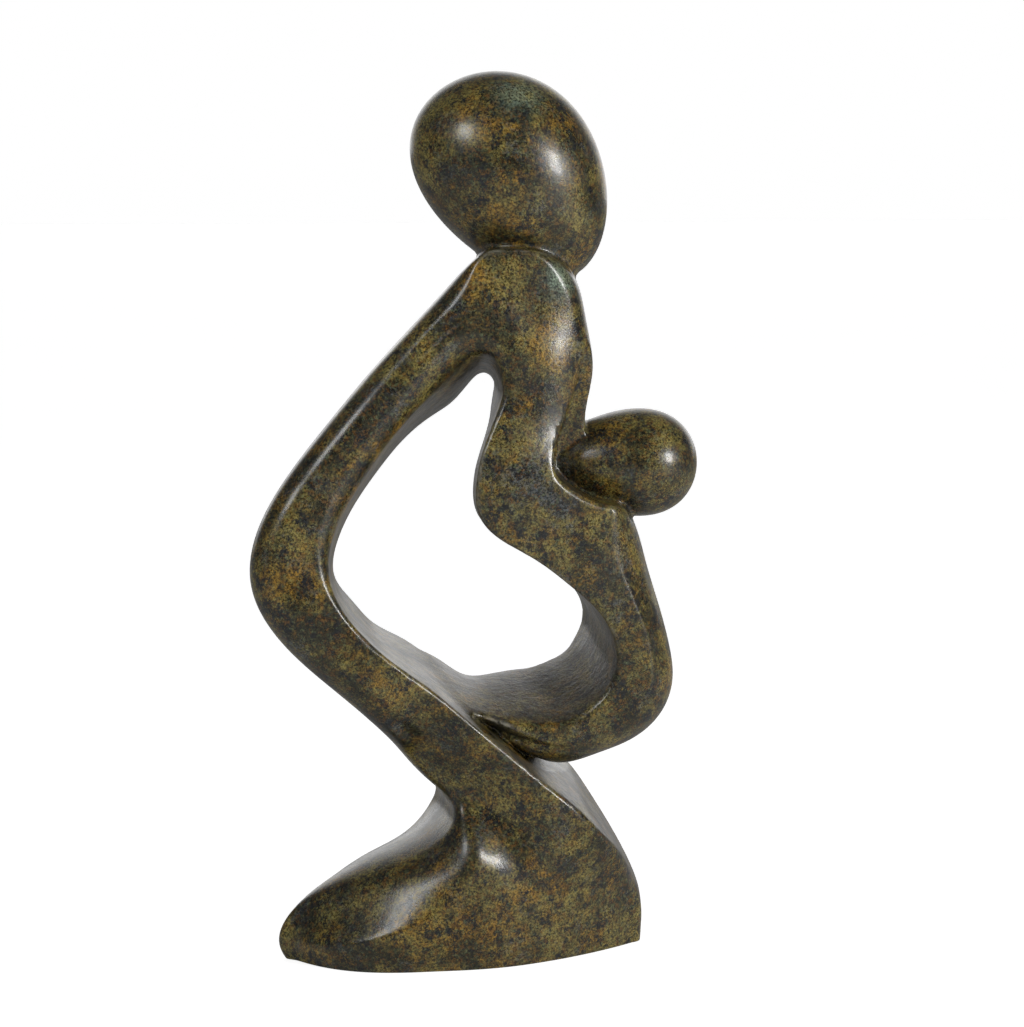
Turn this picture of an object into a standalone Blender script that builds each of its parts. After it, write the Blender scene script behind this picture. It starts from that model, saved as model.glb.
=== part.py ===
"""Mother and child: a kneeling mother holds a child in front of her, carved from one block of stone.

Both are faceless, with plain egg-shaped heads. The mother's back, hip, thigh and calf make one band
that folds at the knee. Her arm and the child's body make a second band that curls back into her lap.
Between the bands one large opening goes right through the block.
"""

import bmesh
import bpy
import numpy as np

# Overall height in metres. Everything else is a share of it.
HEIGHT = 0.300
# Grid spacing of the surface and the number of triangles it is thinned to.
CELL = 2.4
MOST_TRIANGLES = 9400
# Spacing of the grid on which the side view's layers are worked out.
PLAN_SPACING = 0.8

# The carving is drawn in units of its own: x runs from the mother's back to her front, y across the
# block and z up from the underside. The two faces mirror each other before the upper body
# is turned. DRAWN_HEIGHT is the top of the mother's head and DRAWN_MIDDLE_X the middle of the width.
DRAWN_HEIGHT = 298.6
DRAWN_MIDDLE_X = 1.35

# Each point of a side outline is x, z, swell, anchor, edge. Anchor is 1 where x, z lies on the
# near face's own edge, and swell is then how far the wall leans out on its way to the far face.
# Anchor is 0 where x, z lies on the wall at mid-depth, and swell is then how far it falls back to
# both faces. Edge is the rounding between wall and face.
BODY_OUTLINE = [
    # nape, back and hip
    (-2.8, 237.8, 0, 0, 1.5), (-10.6, 231.2, 0.5, 0, 6), (-21.1, 220, 1, 0, 8),
    (-39.4, 200.6, 1, 0, 8), (-56.4, 180.7, 1, 0, 8), (-71.4, 160.8, 1, 0, 8),
    (-78.5, 144.5, 1, 0, 8), (-78.9, 130.6, 1, 0, 8), (-70.5, 113.9, 1, 0, 9),
    # underside of the thigh to the fold behind the knee
    (-49.3, 93.5, 1, 0, 9), (-26.8, 71.8, 1, 0, 11), (-17, 61, 1, 0, 11),
    (-10, 53.4, 0, 0, 8),
    # calf and foot
    (-17.1, 42.2, 4, 0, 12), (-34.4, 33.8, 9, 0, 15), (-50.3, 25.5, 9, 0, 15),
    (-62.8, 16.1, 6, 0, 10), (-67.3, 6.2, 3, 0, 5), (-60, -5, 1, 0, 3), (-40, -11, 0, 0, 3),
    (40, -11, 0, 0, 3), (57, -6, 0, 0, 3),
    # knee, and the crisp edge up the thigh to the lap
    (58.6, 5, 1, 1, 3), (57.6, 14, 3.3, 1, 3), (52.5, 26.5, 4.5, 1, 2.5),
    (45.7, 36.5, 6.6, 1, 2), (38, 44.5, 10, 1, 1.5), (29.5, 53.2, 11.5, 1, 1.3),
    (17.2, 63.4, 7.5, 1, 1.2), (7.5, 71.8, 7.5, 1, 1.2), (-8.3, 85.4, 7.5, 1, 1.2),
    (-22, 97.2, 7.2, 1, 1.2), (-33.6, 106.2, 4.2, 1, 1.2), (-43.5, 115.8, 3.7, 1, 1.5),
    (-50.6, 126.3, 1.9, 1, 2),
    # waist, and the softer inner edge of the torso up to the armpit
    (-53.6, 138, 3.4, 1, 3.5), (-51.5, 149.2, 3.9, 1, 5), (-44, 163.2, 3.8, 1, 5.5),
    (-29.2, 184.2, 7.6, 1, 5.5), (-16, 199.8, 16.5, 1, 5.5), (-8, 207.4, 22, 1, 5),
    (-2.4, 208.8, 23.7, 1, 4), (1.8, 207.2, 22.4, 1, 3), (4.4, 202.6, 12, 1, 2.2),
    # inside the arm, and the top of the shoulder
    (5.4, 192.5, 0, 1, 2.2), (10, 184, 0, 1, 3), (12.6, 187, 0, 1, 4), (16.6, 203, 0, 1, 4),
    (18.6, 222, 0, 1, 4), (15.1, 236.5, 0, 0, 2), (6.6, 240, 0, 0, 1.3),
]
ARM_OUTLINE = [
    # top of the shoulder, shoulder and chest
    (-1.5, 238.8, 0, 0, 1.4), (7.6, 240.1, 0, 0, 1.3), (16.1, 239.4, 0, 0, 1.6),
    (24.8, 235, 0, 0, 4.5), (30, 227.4, 0, 0, 5), (33.2, 214.2, 0, 0, 4),
    (35.2, 199.8, 0, 0, 4), (32.6, 180.3, 0, 0, 4), (39.2, 165, 1, 0, 3),
    (46.1, 155.5, 1, 0, 4), (51.1, 146.7, 1, 0, 10),
    # the child's back and seat
    (55.7, 134, 1, 0, 13), (60.8, 120.7, 1, 0, 14), (66.2, 105, 1, 0, 14),
    (67.8, 93, 1, 0, 14), (63.7, 81.4, 1, 0, 14), (53.6, 72.3, 1, 0, 14),
    (40.6, 67.9, 1, 0, 12), (28.4, 65.6, 1, 0, 10), (13, 71.5, 1, 0, 7), (-2, 81, 1, 0, 4),
    (-14, 84, 1, 1, 2), (-28, 93, 2, 1, 2), (-31, 99.5, 4, 1, 1.2),
    # the crisp inner edge: lap, the child's front
    (-17, 91, 12, 1, 1.2), (-6, 84.8, 17.5, 1, 1.2), (5.5, 81.6, 18, 1, 1.2),
    (17, 80.6, 16, 1, 1.2), (27, 81.2, 15, 1, 1.2), (36, 85.9, 12.8, 1, 1.2),
    (42.6, 93.2, 8.5, 1, 1.2), (45, 102, 5.5, 1, 1.2), (42.8, 111.3, 0.7, 1, 1.2),
    (36.8, 120.5, 0, 1, 1.2),
    # forearm, elbow and upper arm
    (29.2, 127.4, 0, 1, 1.2), (17.7, 136.4, 0, 1, 1.2), (9.2, 141.6, 0, 1, 1.2),
    (1.2, 147.2, 3.5, 1, 1.2), (-3.6, 154.5, 2.3, 1, 1.4), (-4.1, 162, 2, 1, 1.4),
    (-2.3, 173, 0.8, 1, 1.4), (2, 184, 2.9, 1, 1.8), (5.6, 194, 10.2, 1, 2.4),
    # inside the shoulder
    (7, 203, 18, 1, 4), (7, 218, 6, 1, 4), (5, 230, 0, 1, 3),
]
# The step where the sunken chest meets the arm and, below, the child's shoulder.
CHEST_OUTLINE = [
    (36, 223.5), (34.2, 219), (33.6, 213), (31.6, 203.3), (29, 194.5), (25, 183),
    (22.8, 176.9), (21.9, 170.3), (22.6, 166), (25.6, 162.6), (30.4, 159.4), (35.2, 157),
    (39.7, 155.6), (44.5, 154.8), (50.6, 152.4), (59.2, 146), (74.2, 150), (79.2, 190),
    (62, 220), (46, 228),
]
CHEST_HALF_LOW = 7.0
CHEST_HALF_HIGH = 20.5
CHEST_LOW_Z = 156.0
CHEST_HIGH_Z = 230.0
CHEST_FLOOR_EDGE = 2.0
CHEST_STEP_EDGE = 1.0
CHILD_STEP_EDGE = 2.0
CHILD_STEP_LOW_Z = 158.0
CHILD_STEP_HIGH_Z = 170.0
# The arm's face rolls back toward the chest.
ARM_ROLL = 5.0
ARM_ROLL_WIDTH = 6.5
ARM_ROLL_LOW_Z = 160.0
ARM_ROLL_HIGH_Z = 200.0

# Above the armpit the two bands are one shoulder.
SHOULDER_Z = 180.0
SHOULDER_FADE = 15.0

# Half the depth of the block: x, z, half-depth. Values between the stations are blended.
SHOULDER_DEPTH = [(4, 238, 24.5), (28, 226, 24.5), (12, 195, 26.5)]
BODY_DEPTH = SHOULDER_DEPTH + [
    (-20, 212, 25.5), (-45, 180, 27), (-68, 145, 29), (-62, 115, 30.5), (-35, 95, 31.5), (-10, 75, 31.5),
    (8, 58, 29.5),
]
ARM_DEPTH = SHOULDER_DEPTH + [
    (4, 160, 28.5), (28, 140, 28), (52, 125, 27), (60, 95, 25), (38, 74, 23.5), (10, 78, 23),
    (-20, 92, 24),
]
BLEND_REACH = 20.0
PLAN_SOFTNESS = 3.2
CROWN = 0.7
CROWN_WIDTH = 10.0
CALF_CROWN = 6.5
CALF_TOP_Z = 34.0
CALF_FADE_Z = 16.0
CALF_FRONT_X = 12.0
CALF_FADE_X = 36.0
LEAST_HALF_DEPTH = 4.0

# An edge's rounding reaches this much further along the wall than across the face, and no more
# than this share of the half depth.
EDGE_DEPTH = 1.2
MOST_EDGE_SHARE = 0.8
# Deep inside the stone the form is cut off at this many roundings.
DEEPEST = -8.0
# How a wall bows out from the near face's edge: this share of it close to the faces, the rest
# evenly on the way to the far face.
QUICK_BOW = 0.08
QUICK_DEPTH = 4.0

# The upper body is turned a little against the legs: its walls slant by this much for each unit of
# depth, from the near face, which stays where it is drawn.
TURN = 0.23
TURN_LOW_Z = 90.0
TURN_HIGH_Z = 170.0
TURN_FACE = 27.0

# Plan of the kneeling legs on the ground: a leaf, blunt at the foot and pointed at the knee.
LEAF_CENTRE_X = -12.0
LEAF_TOP_Z = 18.0
LEAF_FADE = 44.0
LEAF_WIDENS = 0.07
TUCK_SHARE = 0.05
TUCK_Z = 8.0
TUCK_FADE = 14.0
LEAF_HALF_DEPTH = 30.0
FOOT_REACH = 56.5
FOOT_BLUNTNESS = 3.2
KNEE_REACH = 76.0
KNEE_BLUNTNESS = 1.9

# Heads: x, z, half length, half width, half depth, tilt, taper, bend.
# Seams: band to band at the lap and at the shoulder, then each head.
LAP_SEAM = 1.2
SHOULDER_SEAM = 0.05
NECK_SEAM = 3.0
CHILD_SEAM = 1.2

MOTHER_HEAD = (15.3, 263.9, 38.4, 28.9, 26.0, -49.8, -0.129, -0.112)
CHILD_HEAD = (49.1, 166.8, 28.5, 17.3, 18.0, -0.9, 0.38, 0.0)

# The fold between thigh and calf, a valley along this line.
FOLD_LINE = [(-22, 74), (-13, 65), (-6, 58), (2, 48.5), (11.5, 36.5), (19.5, 28)]
FOLD_DEPTH = 10.0
FOLD_HOLDS = 0.35
FOLD_FADE = 0.6
THIGH_SLOPE = 13.0
CALF_SLOPE = 7.5


def closed_curve(points, per_span=10):
    """A closed cubic spline through the points; further columns are carried along with x and z."""
    p = np.array(points, float)
    count = len(p)
    span = np.linalg.norm(np.roll(p[:, :2], -1, 0) - p[:, :2], axis=1)
    before = np.roll(span, 1)
    matrix = np.zeros((count, count))
    i = np.arange(count)
    matrix[i, i] = 2 * (span + before)
    matrix[i, (i + 1) % count] = span
    matrix[i, (i - 1) % count] = before
    slope = (np.roll(p, -1, 0) - p) / span[:, None]
    second = np.linalg.solve(matrix, 6 * (slope - np.roll(slope, 1, 0)))
    t = np.linspace(0, 1, per_span, endpoint=False)[None, :, None]
    s = 1 - t
    bow = ((s**3 - s) * second[:, None] + (t**3 - t) * np.roll(second, -1, 0)[:, None]) / 6
    curve = s * p[:, None] + t * np.roll(p, -1, 0)[:, None] + span[:, None, None] ** 2 * bow
    return curve.reshape(-1, p.shape[1])


def outline_field(x, z, outline):
    """Distance to the outline, negative inside, and its further columns blended from nearby."""
    best = np.full(x.shape, np.inf)
    columns = np.zeros((outline.shape[1] - 2, *x.shape))
    total = np.zeros(x.shape)
    inside = np.zeros(x.shape, bool)
    for p, q in zip(outline, np.roll(outline, -1, 0)):
        along_x, along_z = q[0] - p[0], q[1] - p[1]
        t = ((x - p[0]) * along_x + (z - p[1]) * along_z) / (along_x**2 + along_z**2)
        t = np.clip(t, 0, 1)
        squared = (x - p[0] - t * along_x) ** 2 + (z - p[1] - t * along_z) ** 2
        best = np.minimum(best, squared)
        weight = (squared + 2.0) ** -3.0 * np.hypot(along_x, along_z)
        total += weight
        for k in range(len(columns)):
            columns[k] += weight * (p[2 + k] + t * (q[2 + k] - p[2 + k]))
        if q[1] != p[1]:
            crosses = (p[1] > z) != (q[1] > z)
            inside ^= crosses & (x < p[0] + (z - p[1]) * along_x / along_z)
    distance = np.sqrt(best)
    return np.where(inside, -distance, distance), columns / total


def ease(t):
    t = np.clip(t, 0, 1)
    return t * t * (3 - 2 * t)


def blended(x, z, stations):
    top = np.zeros(x.shape)
    total = np.zeros(x.shape)
    for station_x, station_z, value in stations:
        weight = ((x - station_x) ** 2 + (z - station_z) ** 2 + BLEND_REACH**2) ** -3.0
        top += weight * value
        total += weight
    return top / total


def leaf_half_depth(x):
    toward_foot = np.clip((LEAF_CENTRE_X - x) / FOOT_REACH, 0, 1) ** FOOT_BLUNTNESS
    toward_knee = np.clip((x - LEAF_CENTRE_X) / KNEE_REACH, 0, 1) ** KNEE_BLUNTNESS
    return LEAF_HALF_DEPTH * np.maximum(1 - toward_foot - toward_knee, 0.2)


def fold_depth(x, z):
    """How far the faces sink along the fold: steep on the calf's side, gentle on the thigh's."""
    best = np.full(x.shape, np.inf)
    side = np.zeros(x.shape)
    along = np.zeros(x.shape)
    line = np.array(FOLD_LINE, float)
    lengths = np.hypot(*np.diff(line, axis=0).T)
    done = 0.0
    for p, q, length in zip(line[:-1], line[1:], lengths):
        way = (q - p) / length
        t = np.clip((x - p[0]) * way[0] + (z - p[1]) * way[1], 0, length)
        distance = np.hypot(x - p[0] - t * way[0], z - p[1] - t * way[1])
        nearer = distance < best
        best = np.where(nearer, distance, best)
        side = np.where(nearer, way[0] * (z - p[1]) - way[1] * (x - p[0]), side)
        along = np.where(nearer, (done + t) / lengths.sum(), along)
        done += length
    width = np.where(side > 0, THIGH_SLOPE, CALF_SLOPE)
    fade = 1 - ease((along - FOLD_HOLDS) / FOLD_FADE)
    return FOLD_DEPTH * fade * np.exp(-((best / width) ** 2))


def plan_layers(x, z):
    """Everything about the form that depends on x and z alone, one layer each."""
    body, body_columns = outline_field(x, z, closed_curve(BODY_OUTLINE))
    arm, arm_columns = outline_field(x, z, closed_curve(ARM_OUTLINE))
    body_half = blended(x, z, BODY_DEPTH)
    low = 1 - ease((z - LEAF_TOP_Z) / LEAF_FADE)
    tuck = TUCK_SHARE * ease((TUCK_Z - z) / TUCK_FADE)
    leaf = leaf_half_depth(x) * (1 - tuck) + LEAF_WIDENS * np.clip(z, 0, LEAF_TOP_Z + LEAF_FADE)
    body_half = body_half + (leaf - body_half) * low
    body_half = body_half - fold_depth(x, z)
    arm_half = blended(x, z, ARM_DEPTH)
    chest, _ = outline_field(x, z, closed_curve(CHEST_OUTLINE))

    high = ease((z - SHOULDER_Z) / SHOULDER_FADE)
    toward_arm = np.clip(0.5 + (body - arm) / SHOULDER_FADE, 0, 1)
    joined = np.minimum(body, arm)
    joined_columns = body_columns + (arm_columns - body_columns) * toward_arm
    joined_half = (body_half + arm_half) / 2
    body, arm = body + (joined - body) * high, arm + (joined - arm) * high
    body_columns = body_columns + (joined_columns - body_columns) * high
    arm_columns = arm_columns + (joined_columns - arm_columns) * high
    body_half = body_half + (joined_half - body_half) * high
    arm_half = arm_half + (joined_half - arm_half) * high
    rolled = ease((z - ARM_ROLL_LOW_Z) / (ARM_ROLL_HIGH_Z - ARM_ROLL_LOW_Z))
    roll = ARM_ROLL * np.exp(-np.maximum(chest, 0) / ARM_ROLL_WIDTH) * rolled
    calf = ease((CALF_TOP_Z - z) / CALF_FADE_Z) * ease((CALF_FRONT_X - x) / CALF_FADE_X)
    crown = CROWN + CALF_CROWN * calf
    body_half = body_half - crown * np.exp(np.minimum(body, 0) / CROWN_WIDTH) - roll
    body_half = np.maximum(body_half, LEAST_HALF_DEPTH)
    arm_half = arm_half - CROWN * np.exp(np.minimum(arm, 0) / CROWN_WIDTH) - roll
    arm_layers = [arm, *arm_columns, arm_half]
    return np.array([body, *body_columns, body_half, *arm_layers, chest])


def rounded_meet(a, b, radius):
    """Inside both a and b, with the edge between them rounded."""
    corner = np.hypot(np.maximum(a + radius, 0), np.maximum(b + radius, 0))
    return np.minimum(np.maximum(a, b), -radius) + corner


def blended_join(a, b, reach):
    """Inside a or b, with the seam between them filled."""
    overlap = np.maximum(reach - np.abs(a - b), 0) / reach
    return np.minimum(a, b) - overlap * overlap * reach / 4


def slab(y, distance, swell, anchor, edge, half):
    across = np.clip(y / half, -1, 1)
    share = (1 + across) / 2
    to_face = np.maximum(half - np.abs(y), 0)
    bow = QUICK_BOW * (1 - np.exp(-to_face / QUICK_DEPTH))
    bow = bow + (1 - QUICK_BOW) * share
    wall = distance - swell * (anchor * bow - (1 - anchor) * across**2)
    depth = np.minimum(EDGE_DEPTH * edge, MOST_EDGE_SHARE * half)
    wall = np.maximum(wall / edge, DEEPEST)
    face = np.maximum((np.abs(y) - half) / depth, DEEPEST)
    return rounded_meet(wall, face, 1.0) * np.where(wall > face, edge, depth)


def egg(x, y, z, shape):
    centre_x, centre_z, length, width, depth, tilt, taper, bend = shape
    turn = np.radians(tilt)
    u = (np.cos(turn) * (x - centre_x) + np.sin(turn) * (z - centre_z)) / length
    v = (np.cos(turn) * (z - centre_z) - np.sin(turn) * (x - centre_x)) / width
    swell = np.maximum(1 + taper * u, 0.3)
    v = (v - bend * u * u) / swell
    w = y / depth / swell
    reach = np.sqrt(u * u + v * v + w * w)
    slope = np.sqrt((u / length) ** 2 + (v / width) ** 2 + (w / depth) ** 2)
    return reach * (reach - 1) / np.maximum(slope, 1e-6)


def turned_by(y, z):
    """How far the upper body's turn moves a drawn place in x."""
    return TURN * ease((z - TURN_LOW_Z) / (TURN_HIGH_Z - TURN_LOW_Z)) * (y + TURN_FACE)


def form(x, y, z, layers):
    """Negative inside the stone. The bands are drawn before the turn, the heads after it."""
    body = slab(y, *layers[:5])
    arm = slab(y, *layers[5:10])
    seam = LAP_SEAM + (SHOULDER_SEAM - LAP_SEAM) * ease((z - SHOULDER_Z) / SHOULDER_FADE)
    stone = blended_join(body, arm, seam)
    toward_shoulder = ease((z - CHEST_LOW_Z) / (CHEST_HIGH_Z - CHEST_LOW_Z))
    chest_half = CHEST_HALF_LOW + (CHEST_HALF_HIGH - CHEST_HALF_LOW) * toward_shoulder
    hollow = rounded_meet(layers[10], chest_half - np.abs(y), CHEST_FLOOR_EDGE)
    above_child = ease((z - CHILD_STEP_LOW_Z) / (CHILD_STEP_HIGH_Z - CHILD_STEP_LOW_Z))
    step_edge = CHILD_STEP_EDGE + (CHEST_STEP_EDGE - CHILD_STEP_EDGE) * above_child
    stone = rounded_meet(stone, -hollow, step_edge)
    x = x + turned_by(y, z)
    stone = blended_join(stone, egg(x, y, z, MOTHER_HEAD), NECK_SEAM)
    return blended_join(stone, egg(x, y, z, CHILD_HEAD), CHILD_SEAM)


def softened(layers, passes):
    """The layers with each value eased toward its neighbours, which takes out creases and noise."""
    for axis in (1, 2) * passes:
        margins = [(0, 0), (1, 1) if axis == 1 else (0, 0), (1, 1) if axis == 2 else (0, 0)]
        sides = np.pad(layers, margins, mode="edge")
        count = layers.shape[axis]
        before = sides.take(np.arange(count), axis)
        after = sides.take(np.arange(2, count + 2), axis)
        layers = (before + 2 * layers + after) / 4
    return layers


def fill_pinches(inside):
    """Makes stone of the grid corners where the surface would touch itself across a cell's side."""
    pinched = True
    while pinched:
        pinched = False
        for axis in range(3):
            grid = np.moveaxis(inside, axis, 0)
            a, b, c, d = grid[:, :-1, :-1], grid[:, 1:, :-1], grid[:, 1:, 1:], grid[:, :-1, 1:]
            pinch = (a == c) & (b == d) & (a != b)
            for corner in (a, b, c, d):
                corner |= pinch
            pinched = pinched or bool(pinch.any())


# A little of this is added to each cell's tangent planes, so that flat cells stay well defined.
EDGE_CALM = 0.1


class Stone:
    """The form with its plan layers sampled on a fine grid, so that any point is quick to test."""

    LOW = np.array([-84.0, -38.0, -15.0])
    HIGH = np.array([88.0, 38.0, 306.0])

    def __init__(self, spacing):
        self.spacing = spacing
        count = np.ceil((self.HIGH - self.LOW) / spacing).astype(int) + 2
        x = self.LOW[0] + spacing * np.arange(count[0])
        z = self.LOW[2] + spacing * np.arange(count[2])
        layers = plan_layers(*np.meshgrid(x, z, indexing="ij"))
        self.layers = softened(layers, round(PLAN_SOFTNESS / spacing))

    def layers_at(self, x, z):
        i = (x - self.LOW[0]) / self.spacing
        k = (z - self.LOW[2]) / self.spacing
        i0 = np.clip(i.astype(int), 0, self.layers.shape[1] - 2)
        k0 = np.clip(k.astype(int), 0, self.layers.shape[2] - 2)
        i, k = i - i0, k - k0
        near = self.layers[:, i0, k0] * (1 - i) + self.layers[:, i0 + 1, k0] * i
        far = self.layers[:, i0, k0 + 1] * (1 - i) + self.layers[:, i0 + 1, k0 + 1] * i
        return near * (1 - k) + far * k

    def value(self, p):
        x, y, z = p.T
        x = x - turned_by(y, z)
        return form(x, y, z, self.layers_at(x, z))

    def slope(self, p, reach=0.1):
        out = np.zeros(p.shape)
        for axis in range(3):
            ahead = np.zeros(3)
            ahead[axis] = reach
            out[:, axis] = (self.value(p + ahead) - self.value(p - ahead)) / (2 * reach)
        return out

    def surface(self, cell):
        """Points and four-sided faces of the surface, one point to each grid cell that it crosses.

        Each point goes where the tangent planes in its cell meet best, which keeps the edges crisp.
        """
        count = np.ceil((self.HIGH - self.LOW) / cell).astype(int) + 1
        x, y, z = (self.LOW[k] + cell * np.arange(count[k]) for k in range(3))
        plan_x, plan_z = np.meshgrid(x, z, indexing="ij")
        layers = self.layers_at(plan_x.ravel(), plan_z.ravel()).reshape(-1, len(x), 1, len(z))
        field = form(x[:, None, None], y[None, :, None], z[None, None, :], layers)
        inside = field < 0
        fill_pinches(inside)
        field = np.where(inside, np.minimum(field, -0.02 * cell), field)
        cells = np.array(field.shape) - 1

        # Each grid edge that the surface crosses touches the four cells round it.
        crossings, touched, outward = [], [], []
        for axis in range(3):
            step = np.eye(3, dtype=int)[axis]
            here = tuple(slice(0, n - s) for n, s in zip(field.shape, step))
            there = tuple(slice(s, n) for n, s in zip(field.shape, step))
            start = np.argwhere(inside[here] != inside[there])
            a = field[tuple(start.T)]
            b = field[tuple((start + step).T)]
            crossings.append(start + (a / (a - b))[:, None] * step)
            outward.append(a < 0)
            across, along = np.roll(step, 1), np.roll(step, 2)
            ring = [start, start - across, start - across - along, start - along]
            touched.append(np.stack([np.ravel_multi_index(c.T, cells) for c in ring], 1))
        points = self.LOW + cell * np.concatenate(crossings)
        points[:, 0] += turned_by(points[:, 1], points[:, 2])
        touched = np.concatenate(touched)
        outward = np.concatenate(outward)
        normals = self.slope(points)
        normals /= np.linalg.norm(normals, axis=1)[:, None]

        used, corners = np.unique(touched, return_inverse=True)
        corners = corners.reshape(touched.shape)
        owner = corners.ravel()
        p = np.repeat(points, 4, axis=0)
        n = np.repeat(normals, 4, axis=0)
        amount = np.bincount(owner)[:, None]
        mean = np.stack([np.bincount(owner, p[:, k]) for k in range(3)], 1) / amount
        offset = ((p - mean[owner]) * n).sum(1)
        pull = np.stack([np.bincount(owner, n[:, k] * offset) for k in range(3)], 1)
        square = np.zeros((len(used), 3, 3))
        for row in range(3):
            for column in range(3):
                square[:, row, column] = np.bincount(owner, n[:, row] * n[:, column])
        square += EDGE_CALM * np.eye(3)
        shift = np.linalg.solve(square, pull[:, :, None])[:, :, 0]
        vertices = mean + np.clip(shift, -cell, cell)
        faces = np.where(outward[:, None], corners, corners[:, ::-1])
        return vertices, faces


def clear_scene():
    for obj in list(bpy.data.objects):
        bpy.data.objects.remove(obj, do_unlink=True)


def mesh_object(name, vertices, faces):
    mesh = bpy.data.meshes.new(name)
    mesh.from_pydata(vertices.tolist(), [], faces.tolist())
    obj = bpy.data.objects.new(name, mesh)
    bpy.context.scene.collection.objects.link(obj)
    return obj


def thinned_mesh(obj, most_triangles):
    """The object's mesh with flatter places in larger triangles."""
    triangles = obj.modifiers.new("triangles", "TRIANGULATE")
    triangles.quad_method = "SHORTEST_DIAGONAL"
    thin = obj.modifiers.new("thin", "DECIMATE")
    thin.ratio = most_triangles / (2 * len(obj.data.polygons))
    graph = bpy.context.evaluated_depsgraph_get()
    mesh = bpy.data.meshes.new_from_object(obj.evaluated_get(graph))
    obj.modifiers.clear()
    return mesh


def cut_flat_underside(mesh):
    """Takes off everything below z = 0 and closes the cut with one flat face."""
    work = bmesh.new()
    work.from_mesh(mesh)
    everything = work.verts[:] + work.edges[:] + work.faces[:]
    ground, up = (0, 0, 0), (0, 0, 1)
    bmesh.ops.bisect_plane(work, geom=everything, dist=1e-7, plane_co=ground, plane_no=up, clear_inner=True)
    rim = [edge for edge in work.edges if edge.is_boundary]
    for vert in {vert for edge in rim for vert in edge.verts}:
        vert.co.z = 0.0
    bmesh.ops.holes_fill(work, edges=rim, sides=0)
    bmesh.ops.triangulate(work, faces=[face for face in work.faces if len(face.verts) > 4])
    bmesh.ops.recalc_face_normals(work, faces=work.faces)
    work.to_mesh(mesh)
    work.free()


def stone_material():
    material = bpy.data.materials.new("stone")
    material.use_nodes = True
    shader = material.node_tree.nodes["Principled BSDF"]
    shader.inputs["Base Color"].default_value = (0.075, 0.06, 0.028, 1.0)
    shader.inputs["Roughness"].default_value = 0.28
    return material


def build():
    clear_scene()
    vertices, faces = Stone(PLAN_SPACING).surface(CELL)
    vertices = (vertices - (DRAWN_MIDDLE_X, 0, 0)) * (HEIGHT / DRAWN_HEIGHT)
    stone = mesh_object("mother_and_child", vertices, faces)
    stone.data = thinned_mesh(stone, MOST_TRIANGLES)
    cut_flat_underside(stone.data)
    stone.data.name = "mother_and_child"
    stone.data.materials.append(stone_material())
    for face in stone.data.polygons:
        face.use_smooth = True


build()
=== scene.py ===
"""The looks of the mother and child: one carving in polished, mottled serpentine on a pale floor.

The stone's form is worked out as in the part itself, on a finer grid, so its crisp edges and soft
planes are all geometry. The mottling, grain and wax polish are the material's, and so are a painted
highlight along the crisp edges and a few spots of painted sheen.
"""

import math

import bmesh
import bpy
import numpy as np
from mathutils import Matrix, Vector


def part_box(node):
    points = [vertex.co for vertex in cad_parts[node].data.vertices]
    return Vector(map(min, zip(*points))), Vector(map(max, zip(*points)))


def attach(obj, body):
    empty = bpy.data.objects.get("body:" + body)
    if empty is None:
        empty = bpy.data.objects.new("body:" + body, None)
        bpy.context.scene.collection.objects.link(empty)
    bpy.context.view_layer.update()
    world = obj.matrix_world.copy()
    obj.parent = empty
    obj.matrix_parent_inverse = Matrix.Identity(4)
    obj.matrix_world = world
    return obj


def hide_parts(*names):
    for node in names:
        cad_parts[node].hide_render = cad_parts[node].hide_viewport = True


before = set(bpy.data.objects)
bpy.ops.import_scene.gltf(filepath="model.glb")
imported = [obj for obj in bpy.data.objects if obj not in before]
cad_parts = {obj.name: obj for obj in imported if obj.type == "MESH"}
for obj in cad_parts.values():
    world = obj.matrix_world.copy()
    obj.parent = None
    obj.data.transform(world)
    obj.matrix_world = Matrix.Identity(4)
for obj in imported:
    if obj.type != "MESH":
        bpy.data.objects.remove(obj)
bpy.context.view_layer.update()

CAD_LOW, CAD_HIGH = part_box("mother_and_child")

# Overall height in metres, as packed.
HEIGHT = CAD_HIGH[2] - CAD_LOW[2]
# Grid spacing of the visible surface.
CELL = 1.2
# Spacing of the grid on which the side view's layers are worked out.
PLAN_SPACING = 0.8

# The carving is drawn in units of its own: x runs from the mother's back to her front, y across the
# block from the near face to the far one, and z up from the underside. DRAWN_HEIGHT is the top of
# the mother's head and DRAWN_MIDDLE_X the middle of the width.
DRAWN_HEIGHT = 298.6
DRAWN_MIDDLE_X = 1.35

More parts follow.
